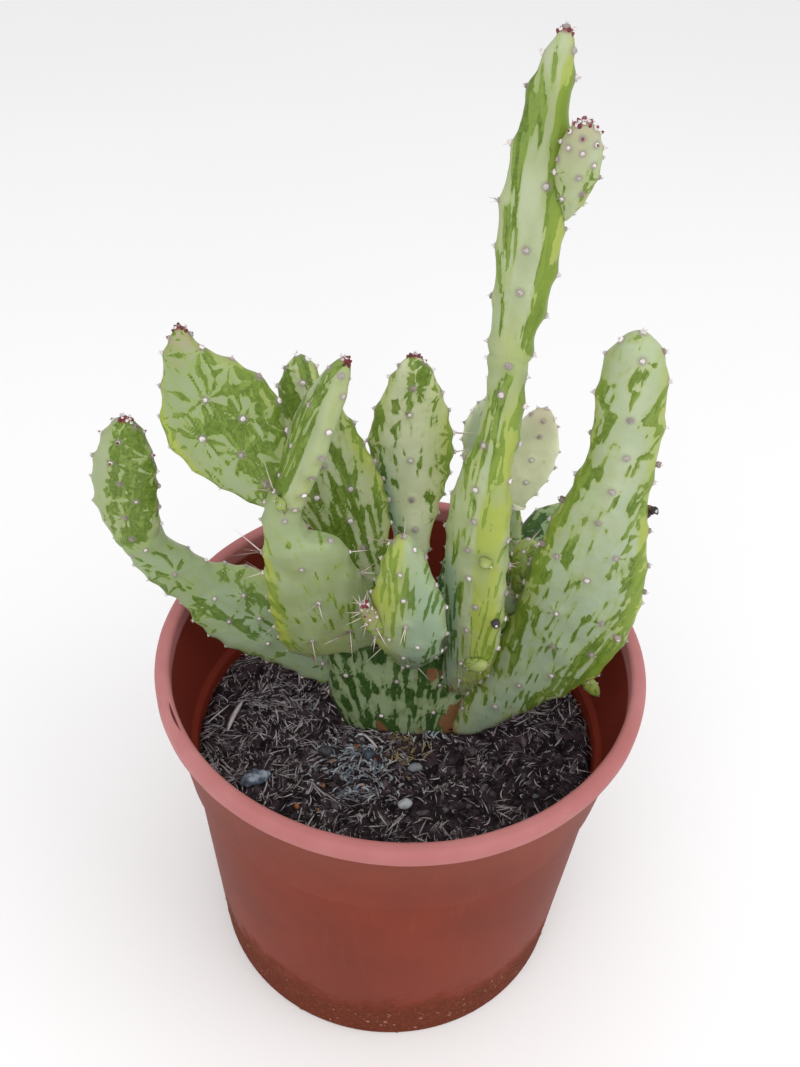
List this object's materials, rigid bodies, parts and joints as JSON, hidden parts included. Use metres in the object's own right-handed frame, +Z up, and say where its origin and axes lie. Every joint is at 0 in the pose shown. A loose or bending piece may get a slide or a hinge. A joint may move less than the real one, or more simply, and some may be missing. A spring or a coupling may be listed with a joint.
{
  "type": "potted paddle cactus",
  "caption": "Variegated paddle cactus of flat branching pads growing from soil in a round terracotta-coloured plastic nursery pot with a rolled rim.",
  "frame": {"origin": "centre of the pot's flat underside, on the ground", "axes": "+Z up along the plant's height, the longest extent; -Y is the side with the most open soil in front of the plant; +X is the side of the big hanging pad"},
  "size_m": [0.25, 0.23, 0.466],
  "materials": {
    "pad_flesh": "satin",
    "old_pad_flesh": "satin",
    "bud_flesh": "satin",
    "pale_pebble": "matte",
    "dark_pebble": "matte",
    "potting_soil": "matte",
    "root_wood": "matte",
    "pot_plastic": "satin"
  },
  "bodies": {
    "root": {"mother_pad": "old_pad_flesh", "left_arm_pad": "pad_flesh", "left_arm_tip_pad": "pad_flesh", "front_left_pad": "pad_flesh", "blade_pad": "pad_flesh", "upper_left_pad": "pad_flesh", "back_left_pad": "pad_flesh", "centre_back_pad": "pad_flesh", "centre_front_pad": "pad_flesh", "centre_bud": "bud_flesh", "hidden_back_pad": "old_pad_flesh", "pale_back_pad": "pad_flesh", "tall_lower_pad": "pad_flesh", "tall_upper_pad": "pad_flesh", "tall_side_pad": "pad_flesh", "low_leaf": "pad_flesh", "round_pad": "pad_flesh", "back_stalk": "pad_flesh", "cream_back_pad": "pad_flesh", "low_back_pad": "old_pad_flesh", "right_pad": "pad_flesh", "neck_bud": "bud_flesh", "tall_bud": "bud_flesh", "foot_bud": "bud_flesh", "between_bud": "bud_flesh", "right_low_bud": "bud_flesh", "right_edge_bud": "bud_flesh", "white_pebble": "pale_pebble", "flat_blue_stone": "dark_pebble", "round_dark_stone": "dark_pebble", "small_dark_stone": "dark_pebble", "grey_chip": "pale_pebble", "soil": "potting_soil", "roots": "root_wood", "pot": "pot_plastic"}
  },
  "joints": []
}
